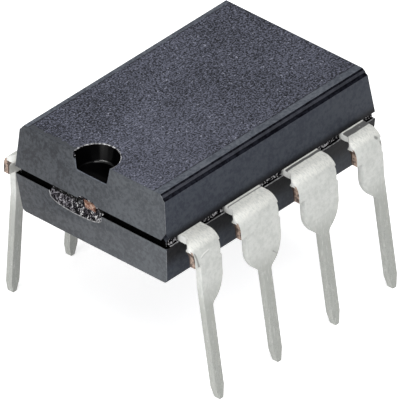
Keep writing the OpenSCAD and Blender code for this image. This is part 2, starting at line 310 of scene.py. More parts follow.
# Painted shade: the parting groove's finish is near black for the shade inside it
resin_groove_shade = smooth_resin("resin_groove_shade", (0.0006, 0.0006, 0.0008), (0.002, 0.002, 0.002), 0.0)
print("nine finishes of the same resin")

# %% [markdown]
# The flat top was left by a spark eroded mould face, which prints a sandy texture: pits and
# crumbs less than a tenth of a millimetre across, slightly bluer and lighter than the smooth
# skin. A broken line of dark pits ends it, a quarter of a millimetre inside the near long edge
# and half as far inside the far one. Noise at two sizes draws both the colour and the bumps.

# %% Sandy skin of the top and the underside
SAND_PIT = (0.002, 0.003, 0.006)
SAND_CREST = (0.172, 0.181, 0.242)
SAND_CRUMB = (0.36, 0.37, 0.45)
SAND_DASH = (0.012, 0.012, 0.02)
BARE_STRIP = (0.064, 0.069, 0.079)
GRAIN_SIZE = 0.056
CRUMB_SIZE = 0.075
DASH_WIDTH = 0.08
# From the near and the far long edge to the texture, and from the end's edge
SAND_BORDER = {-1: 0.25, 1: 0.12}
SAND_END = 0.19


def sandy_resin():
    material, tree, shader, place = new_material("resin_sandy")
    x, y, z = axes(tree, place)
    coarse = grain(tree, place, GRAIN_SIZE, detail=2.5, roughness=0.7)
    drift = grain(tree, place, 1.6, detail=2)
    height = math_node(tree, "ADD", coarse, times(tree, drift, 0.10))
    # It is a little paler towards the near corner of the notched end
    worn = both(tree, step(tree, y, 2.6, -2.8), step(tree, x, 2, -3.5))
    height = math_node(tree, "ADD", height, times(tree, worn, 0.05))
    # It is a little darker towards the far corner of that end
    darker_corner = both(tree, step(tree, y, 0.2, 2.8), step(tree, x, 1.5, -3.5))
    height = math_node(tree, "SUBTRACT", height, times(tree, darker_corner, 0.028))
    colour = blend_colours(tree, step(tree, height, 0.41, 0.75), SAND_PIT, SAND_CREST)
    crumbs = grain(tree, place, CRUMB_SIZE, detail=1)
    colour = blend_colours(tree, step(tree, crumbs, 0.66, 0.80), colour, SAND_CRUMB)
    colour = blend_colours(tree, step(tree, crumbs, 0.34, 0.22), colour, SAND_PIT)
    # Beside the notch, on the far half, the texture stops short of the end in a ragged line
    end_x = cap_height * cap_draft + SAND_END - half_length
    ragged = math_node(tree, "ADD", x, times(tree, grain(tree, place, 0.2, detail=2), 0.3))
    bare = both(tree, step(tree, ragged, end_x + 0.17, end_x + 0.11), step(tree, y, 0.4, 0.7))
    colour = blend_colours(tree, bare, colour, BARE_STRIP)
    # Dark dashes lie along the two long borders of the texture
    borders = []
    for side, border in SAND_BORDER.items():
        sand_y = top_half_width - border
        borders.append(step(tree, y, side * (sand_y - DASH_WIDTH), side * (sand_y - DASH_WIDTH / 2)))
    along = grain(tree, place, 0.22, detail=1, stretch=(1, 0.3, 1))
    line = both(tree, math_node(tree, "MAXIMUM", *borders), step(tree, along, 0.34, 0.46))
    colour = blend_colours(tree, times(tree, line, 0.85), colour, SAND_DASH)
    tree.links.new(colour, shader.inputs["Base Color"])
    shader.inputs["Roughness"].default_value = 0.55
    shader.inputs["Specular IOR Level"].default_value = 0.3
    tree.links.new(bump(tree, coarse, 0.04), shader.inputs["Normal"])
    return material


resin_sand = sandy_resin()
print("sandy top, grains of", GRAIN_SIZE, "and crumbs of", CRUMB_SIZE, "mm")

# %% [markdown]
# The index notch was formed by a polished pin in the mould, so its wall is nearly mirror smooth.
# It is black and shows nothing but soft reflections, which are brightest at the rounded foot.
# Where the runner was snapped off the notched end, the compound broke, and grey filler shows
# in a net of light and dark crumbs. The edges of both are pale in short dashes: a painted
# highlight along each edge, with chipped skin where the filler shows.

# %% Polished notch and broken resin
TIE_BAR_Y = 0.1
GATE_RISE = 0.02


def polished_resin(name, gloss):
    material, tree, shader, place = new_material(name)
    drift = grain(tree, place, 0.4, detail=2)
    colour = blend_colours(tree, drift, (0.0002, 0.0002, 0.0003), (0.0008, 0.0008, 0.001))
    tree.links.new(colour, shader.inputs["Base Color"])
    rough = add(
        tree, "ShaderNodeMapRange", {"Value": drift, "To Min": 0.16, "To Max": 0.22}
    ).outputs["Result"]
    tree.links.new(rough, shader.inputs["Roughness"])
    shader.inputs["Specular IOR Level"].default_value = gloss
    return material


def broken_resin():
    material, tree, shader, place = new_material("resin_broken")
    x, y, z = axes(tree, place)
    from_bar = math_node(tree, "ABSOLUTE", math_node(tree, "SUBTRACT", y, TIE_BAR_Y))
    net = grain(tree, place, 0.13, detail=3, roughness=0.65, distortion=2.0, stretch=(1, 1, 0.6))
    # The crumbs are coarse and bright by the bar, and small and grey at the far end of the break
    far_end = step(tree, y, TIE_BAR_Y + 0.55, TIE_BAR_Y + 0.85)
    pale = blend_colours(tree, far_end, (0.70, 0.70, 0.70), (0.34, 0.33, 0.35))
    hollow, slope = (0.001, 0.001, 0.002), (0.060, 0.054, 0.066)
    colour = blend_colours(tree, step(tree, net, 0.47, 0.53), hollow, slope)
    colour = blend_colours(tree, step(tree, net, 0.55, 0.60), colour, pale)
    # High in the parting groove the break is deep, and painted black as the shade in it, but for the
    # crumbs by the tie bar
    deep = both(
        tree,
        step(tree, z, frame_bottom + GATE_RISE - 0.02, frame_bottom + GATE_RISE + 0.02),
        step(tree, z, frame_top + 0.02, frame_top),
        step(tree, from_bar, 0.28, 0.42),
    )
    crumbs = step(tree, grain(tree, place, 0.06, detail=1), 0.60, 0.66)
    in_deep = blend_colours(tree, crumbs, (0.001, 0.001, 0.001), (0.20, 0.20, 0.21))
    colour = blend_colours(tree, deep, colour, in_deep)
    tree.links.new(colour, shader.inputs["Base Color"])
    shader.inputs["Roughness"].default_value = 0.5
    shader.inputs["Specular IOR Level"].default_value = 0.06
    tree.links.new(bump(tree, net, 0.03), shader.inputs["Normal"])
    return material


def rim_highlight_and_wear(name, dark, pale):
    """A thin edge painted pale in short dashes: a painted highlight along the edge, with chipped skin
    where pale filler shows.
    """
    material, tree, shader, place = new_material(name)
    dashes = grain(tree, place, 0.11, detail=2, roughness=0.6)
    colour = blend_colours(tree, step(tree, dashes, 0.42, 0.62), dark, pale)
    tree.links.new(colour, shader.inputs["Base Color"])
    shader.inputs["Roughness"].default_value = 0.45
    tree.links.new(bump(tree, dashes, 0.01), shader.inputs["Normal"])
    return material


resin_notch = polished_resin("resin_polished", 0.045)
resin_foot = polished_resin("resin_polished_foot", 0.5)
resin_broken = broken_resin()
# Painted highlights: the notch's rim and the gate's lip are pale in dashes along the edge, with chipped
# skin
resin_rim_highlight = rim_highlight_and_wear("resin_rim_highlight", (0.07, 0.07, 0.075), (0.62, 0.62, 0.63))
resin_lip_highlight = rim_highlight_and_wear("resin_lip_highlight", (0.15, 0.15, 0.155), (0.38, 0.38, 0.39))
print("a polished notch, a broken gate and two worn edges")

# %% [markdown]
# The body is a stack of rectangles. A mould has to let its part go, so every wall leans a few
# degrees, and each level of the stack is the same rectangle a little larger or smaller. One
# face is extruded from level to level: up the lower half, in and out round the parting
# groove, up the upper half, and over the narrow ledge along the two long top edges.

# %% Body slots and levels
BODY_FINISHES = [
    resin_skin,
    resin_sand,
    resin_notch,
    resin_broken,
    resin_edge_highlight,
    resin_seam_shade,
    resin_ledge,
    resin_groove_shade,
    resin_end,
    resin_rim_highlight,
    resin_lip_highlight,
    resin_foot,
    resin_upper_side,
    resin_lower_side,
    resin_border,
]
(
    SKIN,
    SAND_SLOT,
    NOTCH,
    BROKEN,
    EDGE_HIGHLIGHT,
    SEAM_SHADE,
    LEDGE,
    GROOVE_SHADE,
    END,
    RIM_HIGHLIGHT,
    LIP_HIGHLIGHT,
    FOOT,
    UPPER_SIDE,
    LOWER_SIDE,
    BORDER,
) = range(len(BODY_FINISHES))


def cap_level(z, y=None, cove=0.0):
    """A level of the upper half. A cove takes its long sides in."""
    fall = (z - frame_top) * cap_draft
    return half_length - fall, (half_width - fall if y is None else y) - cove, z


ledge_foot = body_top - chamfer_drop


def on_ledge(share, cove=0.0):
    """A level part of the way down the ledge, from the top edge at 0 to its foot at 1."""
    return cap_level(body_top - share * chamfer_drop, top_half_width + share * chamfer_width, cove)


# Each level is half its length, half its width and its height
under_length = half_length - base_height * base_end_draft
under_width = half_width - base_height * base_side_draft
BODY_LEVELS = [
    (under_length, under_width, body_bottom),
    (half_length, half_width, frame_bottom),
    (half_length - groove_depth, half_width - groove_depth, frame_bottom),
    (half_length - groove_depth, half_width - groove_depth, frame_top),
    (half_length, half_width, frame_top),
    cap_level(ledge_foot),
    on_ledge(0.76, cove=0.035),
    on_ledge(0.56),
    on_ledge(0.24),
    on_ledge(0.12, cove=0.015),
    cap_level(body_top, top_half_width),
]


def stack_levels(bm, levels):
    """Extrudes one face through the levels. Returns the wall faces of each step."""
    made = bmesh.ops.create_grid(bm, x_segments=1, y_segments=1, size=1)
    face = made["verts"][0].link_faces[0]
    walls = []
    for count, (half_x, half_y, z) in enumerate(levels):
        if count:
            before = set(bm.faces)
            grown = bmesh.ops.extrude_face_region(bm, geom=[face])["geom"]
            if count > 1:
                bmesh.ops.delete(bm, geom=[face], context="FACES_ONLY")
            face = next(g for g in grown if isinstance(g, bmesh.types.BMFace))
            walls.append([f for f in bm.faces if f not in before and f is not face])
        for vert in face.verts:
            vert.co = (math.copysign(half_x, vert.co.x), math.copysign(half_y, vert.co.y), z)
    return walls


body_bm = bmesh.new()
walls = stack_levels(body_bm, BODY_LEVELS)
bmesh.ops.recalc_face_normals(body_bm, faces=body_bm.faces)
print("body stack:", len(body_bm.faces), "faces on", len(BODY_LEVELS), "levels")

# %% [markdown]
# The ledge has dark seams, painted shade in its small steps, only along the two long sides, so
# its finishes go on the walls that face sideways. The top's texture ends inside the long edges:
# the top face is cut twice, and the middle part is inset by a hair and let down, as the rougher
# part of the mould face stood proud. The underside is made the same way.

# %% Finishes of the levels, and the sandy panel
SAME_PLACE = 0.001
PANEL_INSET = 0.02
PANEL_DROP = 0.008


def faces_sideways(face):
    return abs(face.normal.y) > 0.2


def once(items):
    """The items in their first order, each one time."""
    return list(dict.fromkeys(items))


def level_faces(bm, z):
    return [f for f in bm.faces if abs(f.calc_center_median().z - z) < SAME_PLACE]


LEVEL_FINISH = {
    0: LOWER_SIDE,
    1: GROOVE_SHADE,
    2: GROOVE_SHADE,
    3: GROOVE_SHADE,
    4: UPPER_SIDE,
    5: SEAM_SHADE,
    6: SEAM_SHADE,
    7: LEDGE,
    8: SEAM_SHADE,
    9: SEAM_SHADE,
}
for number, slot in LEVEL_FINISH.items():
    for face in walls[number]:
        if slot == GROOVE_SHADE or faces_sideways(face):
            face.material_index = slot
# Over the ends the levels lie in one plane, so each end is made one face again
for side in (-1, 1):
    end_faces = [f for f in body_bm.faces if f.normal.x * side > 0.9]
    strips = {f for f in end_faces if f.calc_center_median().z > frame_top}
    inner = [e for e in body_bm.edges if strips.issuperset(e.link_faces)]
    bmesh.ops.dissolve_edges(body_bm, edges=inner, use_verts=False)
for face in body_bm.faces:
    if abs(face.normal.x) > 0.9 and face.material_index == SKIN:
        face.material_index = END


def sandy_panel(bm, z, half_y):
    """Cuts the sandy panel out of a level face, and lets it down by a hair."""
    for side, border in SAND_BORDER.items():
        level = level_faces(bm, z)
        parts = level + [e for f in level for e in f.edges] + [v for f in level for v in f.verts]
        bmesh.ops.bisect_plane(
            bm,
            geom=once(parts),
            plane_co=(0, side * (half_y - border), 0),
            plane_no=(0, 1, 0),
            dist=1e-5,
        )
    level = level_faces(bm, z)
    for face in level:
        face.material_index = BORDER
    panel = next(f for f in level if abs(f.calc_center_median().y) < 0.5)
    bmesh.ops.inset_region(
        bm, faces=[panel], thickness=PANEL_INSET, depth=-PANEL_DROP, use_even_offset=True
    )
    panel.material_index = SAND_SLOT


sandy_panel(body_bm, body_top, top_half_width)
sandy_panel(body_bm, body_bottom, under_width)
print("sandy panels cut:", len(body_bm.faces), "faces")

# %% [markdown]
# No edge of a moulding is truly sharp. The long bottom edges are well rounded, the end edges of
# the top only a little, and the four upright corners have a thin radius with a pale finish, a painted
# highlight.
# Bevelling is done now, while the edges are few and easy to name by their direction and place.

# %% Rounded edges
BASE_RADIUS = 0.24
END_RADIUS = 0.04
CORNER_RADIUS = 0.045
# How far inside the body's sides its end edges and upright corners are looked for
END_REACH = 0.3
CORNER_REACH = 0.35
# The least turn between two faces at an upright corner, in radians
CORNER_TURN = 1.0


def run_of(edge):
    return (edge.verts[1].co - edge.verts[0].co).normalized()


def middle_of(edge):
    return (edge.verts[0].co + edge.verts[1].co) / 2


def at_height(edge, z):
    return abs(middle_of(edge).z - z) < SAME_PLACE


def round_edges(bm, edges, radius, segments, slot=None, keep_clear=True):
    """Bevels the edges. A slot is the finish of the new faces, which are returned."""
    made = bmesh.ops.bevel(
        bm,
        geom=edges,
        offset=radius,
        offset_type="OFFSET",
        segments=segments,
        profile=0.5,
        affect="EDGES",
        clamp_overlap=keep_clear,
        material=-1,
    )
    if slot is not None:
        for face in made["faces"]:
            face.material_index = slot
    return made["faces"]


long_bottom = [
    e
    for e in body_bm.edges
    if abs(run_of(e).x) > 0.9
    and at_height(e, body_bottom)
    and abs(middle_of(e).y) > under_width - 0.01
]
round_edges(body_bm, long_bottom, BASE_RADIUS, 5)
end_top = [
    e
    for e in body_bm.edges
    if abs(run_of(e).y) > 0.9
    and at_height(e, body_top)
    and abs(middle_of(e).x) > half_length - END_REACH
]
round_edges(body_bm, end_top, END_RADIUS, 3)
uprights = [
    e
    for e in body_bm.edges
    if abs(run_of(e).z) > 0.5
    and abs(middle_of(e).x) > half_length - END_REACH
    and abs(middle_of(e).y) > half_width - CORNER_REACH
    and e.calc_face_angle(0) > CORNER_TURN
]
round_edges(body_bm, uprights, CORNER_RADIUS, 2, EDGE_HIGHLIGHT)
print("rounded", len(long_bottom), "bottom,", len(end_top), "top and", len(uprights), "corner edges")

# %% [markdown]
# The notch, the gate break and the chip in the corner are taken away with solid cutters, as
# the mould pin and the breaks did. A Boolean keeps the cutter's finish on the faces that it
# makes, so the polish of the notch and the grey of the breaks come with the cut. The notch is
# a tapered cylinder. Its wall meets the floor in a small curve, which catches the light.

# %% Notch cutter
NOTCH_RADIUS = 0.755
NOTCH_DEPTH = 0.6
NOTCH_SETBACK = 0.16
NOTCH_FOOT_RADIUS = 0.06
FOOT_REACH = 0.47
NOTCH_DRAFT = math.tan(math.radians(10))
NOTCH_FLOOR = body_top - NOTCH_DEPTH
NOTCH_CENTRE = Vector((-half_length + cap_height * cap_draft + NOTCH_SETBACK, 0, NOTCH_FLOOR))


def bench_object(name, bm, finishes):
    """An object made of the bmesh, in the bmesh's own units."""
    mesh = bpy.data.meshes.new(name)
    bm.to_mesh(mesh)
    bm.free()
    for finish in finishes:
        mesh.materials.append(finish)
    piece = bpy.data.objects.new(name, mesh)
    bpy.context.scene.collection.objects.link(piece)
    return piece


def finished_cutter(name, bm, slot):
    """A cutter that leaves one finish on the faces that it makes."""
    for face in bm.faces:
        face.material_index = slot
    return bench_object(name, bm, BODY_FINISHES)


def notch_cutter():
    bm = bmesh.new()
    bmesh.ops.create_cone(
        bm,
        cap_ends=True,
        segments=96,
        radius1=NOTCH_RADIUS - NOTCH_DEPTH * NOTCH_DRAFT,
        radius2=NOTCH_RADIUS + NOTCH_DEPTH * NOTCH_DRAFT,
        depth=2 * NOTCH_DEPTH,
    )
    bmesh.ops.translate(bm, vec=NOTCH_CENTRE + Vector((0, 0, NOTCH_DEPTH)), verts=bm.verts)
    for face in bm.faces:
        face.material_index = NOTCH
    # The foot is glossier than the wall, and holds the one bright reflection, up to FOOT_REACH
    foot = [e for e in bm.edges if middle_of(e).z < NOTCH_FLOOR + 0.01 and abs(run_of(e).z) < 0.1]
    for face in round_edges(bm, foot, NOTCH_FOOT_RADIUS, 3, FOOT):
        if face.calc_center_median().y > FOOT_REACH:
            face.material_index = NOTCH
    return bench_object("notch_cutter", bm, BODY_FINISHES)


# %% [markdown]
# The gate's cutter is a block whose flat top lies inside the parting groove. Its lower side is
# cut to the outline of the break, a flattened half ellipse, by one plane for each short step of
# it. The chip's cutter is a turned block. Small nibbles come from balls made lumpy by noise.

# %% Gate, chip and nibble cutters
GATE_WIDTH = 2.14
GATE_HEIGHT = 0.41
GATE_OFFSET = 0.65
GATE_DEPTH = 0.1
GATE_ROUNDNESS = 0.5
GATE_STEPS = 12
CHIP_BLOCK = (1, 1, 0.6)
CHIP_TURN = math.radians(48)
CHIP_REACH = Vector((-0.27, -0.27, -0.27))
NIBBLE_LUMP = 0.07
NIBBLE_RAGGED = 0.03


def gate_outline():
    """The lower outline of the broken gate on the end face, from its +Y end to its -Y end."""
    corners = []
    for count in range(GATE_STEPS + 1):
        angle = math.pi * count / GATE_STEPS
        y = GATE_OFFSET + GATE_WIDTH / 2 * math.cos(angle)
        drop = GATE_HEIGHT * max(math.sin(angle), 0) ** GATE_ROUNDNESS
        corners.append(Vector((0, y, frame_bottom - drop)))
    return corners


def trim_to_outline(bm, close=True):
    """Cuts everything beyond the gate's outline away, one plane for each step of it."""
    outline = gate_outline()
    for start, end in zip(outline, outline[1:]):
        along = end - start
        outward = Vector((0, along.z, -along.y))
        if outward.dot(start - Vector((0, GATE_OFFSET, frame_bottom))) < 0:
            outward.negate()
        cut = bmesh.ops.bisect_plane(
            bm,
            geom=[*bm.verts, *bm.edges, *bm.faces],
            plane_co=start,
            plane_no=outward,
            clear_outer=True,
            dist=1e-5,
        )
        if close:
            ring = [g for g in cut["geom_cut"] if isinstance(g, bmesh.types.BMEdge)]
            bmesh.ops.holes_fill(bm, edges=ring, sides=0)


def gate_cutter():
    bm = bmesh.new()
    bmesh.ops.create_cube(bm, size=1)
    bmesh.ops.scale(bm, vec=(1, GATE_WIDTH, 1), verts=bm.verts)
    centre = (GATE_DEPTH - half_length - 0.5, GATE_OFFSET, frame_bottom - 0.5 + GATE_RISE)
    bmesh.ops.translate(bm, vec=centre, verts=bm.verts)
    trim_to_outline(bm)
    return finished_cutter("gate_cutter", bm, BROKEN)


def chip_cutter():
    """A wedge that takes the lower tip off the corner beside lead 1."""
    bm = bmesh.new()
    bmesh.ops.create_cube(bm, size=1)
    bmesh.ops.scale(bm, vec=CHIP_BLOCK, verts=bm.verts)
    turn = Matrix.Rotation(CHIP_TURN, 3, (1, -1, 0))
    bmesh.ops.rotate(bm, cent=(0, 0, 0), matrix=turn, verts=bm.verts)
    centre = Vector((-half_length, -half_width, frame_top)) + CHIP_REACH
    bmesh.ops.translate(bm, vec=centre, verts=bm.verts)
    return finished_cutter("chip_cutter", bm, SKIN)


def push(point):
    """A vector of noise at a point."""
    return Vector([noise.noise(point + Vector((9.3 * part, 0, 0))) for part in range(3)])


def nibble_cutter(centre, size, slot):
    """A lumpy ball that takes a nibble out of an edge."""
    bm = bmesh.new()
    bmesh.ops.create_icosphere(bm, subdivisions=3, radius=1)
    bmesh.ops.scale(bm, vec=size, verts=bm.verts)
    bmesh.ops.translate(bm, vec=centre, verts=bm.verts)
    for vert in bm.verts:
        vert.co += NIBBLE_RAGGED * push(vert.co / NIBBLE_LUMP)
    return finished_cutter("nibble_cutter", bm, slot)


# %% [markdown]
# All the cutters are subtracted from the blank at once by live modifiers, and the result is
# read back as a bmesh. The exact solver is used, because it keeps thin slivers whole. One
# nibble leaves the ragged dip above the tie bar, and one the chip at the notch's far rim.

# %% Cut the body


def cut_away(piece, cutters):
    """Subtracts the cutters, and returns the result as a bmesh."""
    for cutter in cutters:
        modifier = piece.modifiers.new(cutter.name, "BOOLEAN")
        modifier.operation = "DIFFERENCE"
        modifier.solver = "EXACT"
        modifier.object = cutter
    graph = bpy.context.evaluated_depsgraph_get()
    bm = bmesh.new()
    bm.from_object(piece, graph)
    for spent in [piece, *cutters]:
        bpy.data.objects.remove(spent)
    return bm


blank = bench_object("body_blank", body_bm, BODY_FINISHES)
bar_nibble = (-half_length, TIE_BAR_Y + 0.08, frame_top)
above_bar = nibble_cutter(bar_nibble, (0.09, 0.36, 0.13), BROKEN)
rim_end_y = math.sqrt(NOTCH_RADIUS**2 - NOTCH_SETBACK**2)
rim_nibble = (0.13 - half_length, rim_end_y, body_top - 0.15)
by_rim = nibble_cutter(rim_nibble, (0.04, 0.035, 0.15), BROKEN)
body_bm = cut_away(blank, [notch_cutter(), gate_cutter(), chip_cutter(), above_bar, by_rim])
print("after the cuts:", len(body_bm.faces), "faces")

# %% [markdown]
# The rim of the notch and the lower lip of the gate are thin edges painted pale in dashes: a
# painted highlight along each edge, with chipped skin where filler shows. They are bevelled by
# about two hundredths of a millimetre and get a lighter finish.

# %% Worn rims


def between(edge, slots, others):
    """True where the edge parts a face of one group of finishes from a face of the other group."""
    found = {f.material_index for f in edge.link_faces}
    return bool(found & slots) and bool(found & others)


RIM_WIDTH = 0.022
RIM_PALE_DEPTH = 0.05
WELD = 0.0005
bmesh.ops.remove_doubles(body_bm, verts=body_bm.verts, dist=WELD)
outer = {SKIN, SAND_SLOT, END, EDGE_HIGHLIGHT, UPPER_SIDE, LOWER_SIDE, BORDER}
rim = [
    e for e in body_bm.edges if between(e, {NOTCH, FOOT}, outer) and e.calc_length() > RIM_WIDTH
]
for face in round_edges(body_bm, rim, RIM_WIDTH, 2, RIM_HIGHLIGHT, keep_clear=False):
    # Below the top the rim gets no painted highlight, and is only a little paler than the end face
    if face.calc_center_median().z < body_top - RIM_PALE_DEPTH:
        face.material_index = BORDER
lip = [
    e
    for e in body_bm.edges
    if between(e, {BROKEN}, outer)
    and middle_of(e).x < -half_length + 0.5 * GATE_DEPTH
    and middle_of(e).z < frame_bottom - 0.05
]
round_edges(body_bm, lip, RIM_WIDTH, 2, LIP_HIGHLIGHT)
print("rim of", len(rim), "edges and lip of", len(lip))

# %% [markdown]
# A finished piece is scaled to metres, shaded smooth except at its sharp edges, and told which
# body it rides on, and the CAD nodes that it stands for are hidden.

# %% Finish a piece
SHARP = math.radians(32)


def finish_piece(name, bm, finishes, stands_for=()):
    for face in bm.faces:
        face.smooth = True
    bmesh.ops.scale(bm, vec=(MM, MM, MM), verts=bm.verts)
    open_edges = sum(not e.is_manifold for e in bm.edges)
    piece = bench_object(name, bm, finishes)
    piece.data.set_sharp_from_angle(angle=SHARP)
    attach(piece, "root")
    if stands_for:
        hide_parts(*stands_for)
    print(name, len(piece.data.polygons), "faces,", open_edges, "open edges")
    return piece


finish_piece("epoxy_body", body_bm, BODY_FINISHES, ["moulded_body"])

# %% [markdown]
# The runner broke off the notched end through the middle of the parting line and left a rough
# patch. It is a sheet of small faces, trimmed to the outline of the gate, pushed in and out
# by noise as the crumbs of the break are, and given a back so that it is a closed solid.

# %% Broken face of the gate
CRUMB = 0.09
CRUMB_DEPTH = 0.045
FRACTURE_FACES = (90, 26)
FRACTURE_THICKNESS = 0.06
QUARTER_TURN = math.radians(90)


def turn_all(bm, verts, angle, axis):
    """Turns the points about an axis through the origin."""
    bmesh.ops.rotate(bm, cent=(0, 0, 0), matrix=Matrix.Rotation(angle, 3, axis), verts=verts)


def ease(value, low, high):
    """0 below low, 1 above high, and smooth between them."""
    share = min(max((value - low) / (high - low), 0), 1)
    return share * share * (3 - 2 * share)


def gate_fracture():
    bm = bmesh.new()
    across, up = FRACTURE_FACES
    bmesh.ops.create_grid(bm, x_segments=across, y_segments=up, size=0.5)
    height = GATE_HEIGHT + 0.2
    bmesh.ops.scale(bm, vec=(GATE_WIDTH, height, 1), verts=bm.verts)
    turn_all(bm, bm.verts, QUARTER_TURN, "X")
    turn_all(bm, bm.verts, -QUARTER_TURN, "Z")
    floor_x = -half_length + GATE_DEPTH
    centre = (floor_x - 0.01, GATE_OFFSET, frame_bottom - GATE_HEIGHT + height / 2)
    bmesh.ops.translate(bm, vec=centre, verts=bm.verts)
    trim_to_outline(bm, close=False)
    front = list(bm.faces)
    grown = bmesh.ops.extrude_face_region(bm, geom=front, use_keep_orig=True)["geom"]
    back = [g for g in grown if isinstance(g, bmesh.types.BMVert)]
    bmesh.ops.translate(bm, vec=(FRACTURE_THICKNESS, 0, 0), verts=back)
    for vert in once(v for f in front for v in f.verts):
        crumbs = noise.fractal(vert.co / CRUMB, 0.6, 2.1, 4)
        from_bar = abs(vert.co.y - TIE_BAR_Y)
        in_groove = ease(vert.co.z, frame_bottom + GATE_RISE - 0.04, frame_bottom + GATE_RISE + 0.04)
        sunk = in_groove * ease(from_bar, 0.3, 0.55)
        vert.co.x += 0.03 * sunk - CRUMB_DEPTH * (0.4 + crumbs) * (1 - 0.8 * sunk)
        # The tie bar's end stays clear of the crumbs
        if from_bar < 0.26 and vert.co.z > frame_bottom - 0.03:
            vert.co.x = max(vert.co.x, floor_x - 0.01)
    bmesh.ops.recalc_face_normals(bm, faces=bm.faces)
    return finish_piece("gate_fracture", bm, [resin_broken])


gate_fracture()

# %% [markdown]
# The leads are stamped from copper alloy, plated with matte tin and bent. Matte tin is a soft
# pale metal that scatters nearly all its light, so it is drawn as a mostly diffuse surface
# with a wide highlight, mottled at a few scales, with fine lines down its length. Its tone
# also follows height and direction: the stalks are greyer, and light is painted in: the
# up-facing crown, in the fine lines of the bending tool, and the faces that look along the row
# are paler with a painted highlight, and the side that faces the body is pale with painted
# bounce light. Single dents and scratches, with painted shade along them, and bands come last.

# %% Tin plating
TIN = (0.64, 0.65, 0.625)
TIN_DULL = (0.53, 0.545, 0.52)
TIN_BRIGHT = (0.66, 0.665, 0.64)
TIN_STALK = (0.345, 0.355, 0.33)
TIN_SPECK = (0.20, 0.20, 0.19)
TIN_LIT = (0.79, 0.79, 0.745)
TIN_SIDE_HIGHLIGHT = (0.73, 0.735, 0.715)
# On lead 1 the first dark colour is painted shade along a dent, and on leads 2 and 4 it is dark tool
# marks. The second is painted shade along the low side of lead 1's scratch.
DARK_MARK = (0.20, 0.20, 0.19)
SCRATCH_SHADE = (0.46, 0.47, 0.45)
SCRATCH = (0.76, 0.76, 0.74)
BAND_EDGE = 0.015


def tin_plate(name, band=None, marks=()):
    """Tin. A band is the (start, end, tone) of a dark tool mark across the top of the lead, whose
    ends are measured from the body wall. A mark is the (start, end, width, colour) of a dent or
    scratch along a line."""
    material, tree, shader, place = new_material(name)
    x, y, z = axes(tree, place)
    clouds = grain(tree, place, 0.5, detail=4, roughness=0.6)
    blotches = grain(tree, place, 0.13, detail=3, roughness=0.6)
    drawn = grain(tree, place, 0.06, detail=2, stretch=(1, 1, 0.2))
    specks = grain(tree, place, 0.045, detail=2)
    shade = math_node(tree, "ADD", times(tree, blotches, 0.6), times(tree, clouds, 0.4))
    colour = blend_colours(tree, step(tree, shade, 0.36, 0.62), TIN_DULL, TIN)
    # The stalk is greyer, with bright streaks along it and small dark specks near the tip
    stalk = step(tree, z, 4.2, 3.0)
    colour = blend_colours(tree, times(tree, stalk, 0.85), colour, TIN_STALK)
    streaks = both(tree, step(tree, drawn, 0.52, 0.78), step(tree, z, 4.6, 3.8))
    colour = blend_colours(tree, times(tree, streaks, 0.45), colour, TIN_BRIGHT)
    worn_off = both(tree, step(tree, specks, 0.52, 0.66), step(tree, z, 3.6, 1.6))
    colour = blend_colours(tree, times(tree, worn_off, 0.5), colour, TIN_SPECK)
    # Painted highlight: the shoulder's faces that look along the row are painted paler
    normal = add(tree, "ShaderNodeTexCoord").outputs["Normal"]
    looks = add(tree, "ShaderNodeSeparateXYZ", {0: normal})
    side_highlight = both(
        tree,
        step(tree, math_node(tree, "ABSOLUTE", looks.outputs[0]), 0.55, 0.8),
        step(tree, z, frame_bottom - 0.12, frame_bottom - 0.02),
    )
    colour = blend_colours(tree, side_highlight, colour, TIN_SIDE_HIGHLIGHT)
    # The crown of the shoulder, which looks up, is painted paler: a painted highlight, in the fine
    # lines of the bending tool
    lines = grain(tree, place, 0.045, detail=2, roughness=0.7, stretch=(1, 0.35, 0.35))
    tool_lines = math_node(tree, "MULTIPLY_ADD", step(tree, lines, 0.34, 0.62), 0.75, 0.15)
    crown_highlight = both(tree, step(tree, looks.outputs[2], 0.45, 0.8), tool_lines)
    colour = blend_colours(tree, crown_highlight, colour, TIN_LIT)
    # Painted bounce light: near the body, the side that faces it is painted pale, in the body's shade
    body_side_bounce = times(tree, looks.outputs[1], y)
    body_side_bounce = both(tree, step(tree, body_side_bounce, -2.0, -3.0), step(tree, z, 4.5, 4.7))
    colour = blend_colours(tree, body_side_bounce, colour, TIN_LIT)
    dull_specks = times(tree, step(tree, specks, 0.62, 0.75), 0.5)
    colour = blend_colours(tree, dull_specks, colour, TIN_DULL)
    if band:
        start, end, tone = band
        out = math_node(tree, "SUBTRACT", math_node(tree, "ABSOLUTE", y), half_width)
        wobble = math_node(tree, "MULTIPLY_ADD", grain(tree, place, 0.3, detail=1), 0.05, -0.025)
        out = math_node(tree, "ADD", out, wobble)
        mark = both(
            tree,
            step(tree, out, start - BAND_EDGE, start + BAND_EDGE),
            step(tree, out, end + BAND_EDGE, end - BAND_EDGE),
            step(tree, z, frame_top - 0.06, frame_top - 0.03),
        )
        mark = times(tree, mark, step(tree, blotches, 0.12, 0.40))
        colour = blend_colours(tree, mark, colour, (tone, tone, tone))
    for start, end, width, tone in marks:
        mark = times(tree, near_line(tree, place, start, end, width), 0.8)
        colour = blend_colours(tree, mark, colour, tone)
    tree.links.new(colour, shader.inputs["Base Color"])
    shader.inputs["Metallic"].default_value = 0.08
    rough = add(
        tree, "ShaderNodeMapRange", {"Value": clouds, "To Min": 0.42, "To Max": 0.54}
    ).outputs["Result"]
    tree.links.new(rough, shader.inputs["Roughness"])
    height = math_node(tree, "ADD", times(tree, drawn, 0.6), specks)
    tree.links.new(bump(tree, height, 0.004), shader.inputs["Normal"])
    return material


# %% [markdown]
# A dam bar joined the leads until the trim tool cut it, after plating. Each cut face is bare
# copper, torn and a little dirty: brown, with a darker edge towards the body and black specks.
# The leads differ in their tool marks, so there are five kinds of tin, and a list deals them.

# %% Bare copper


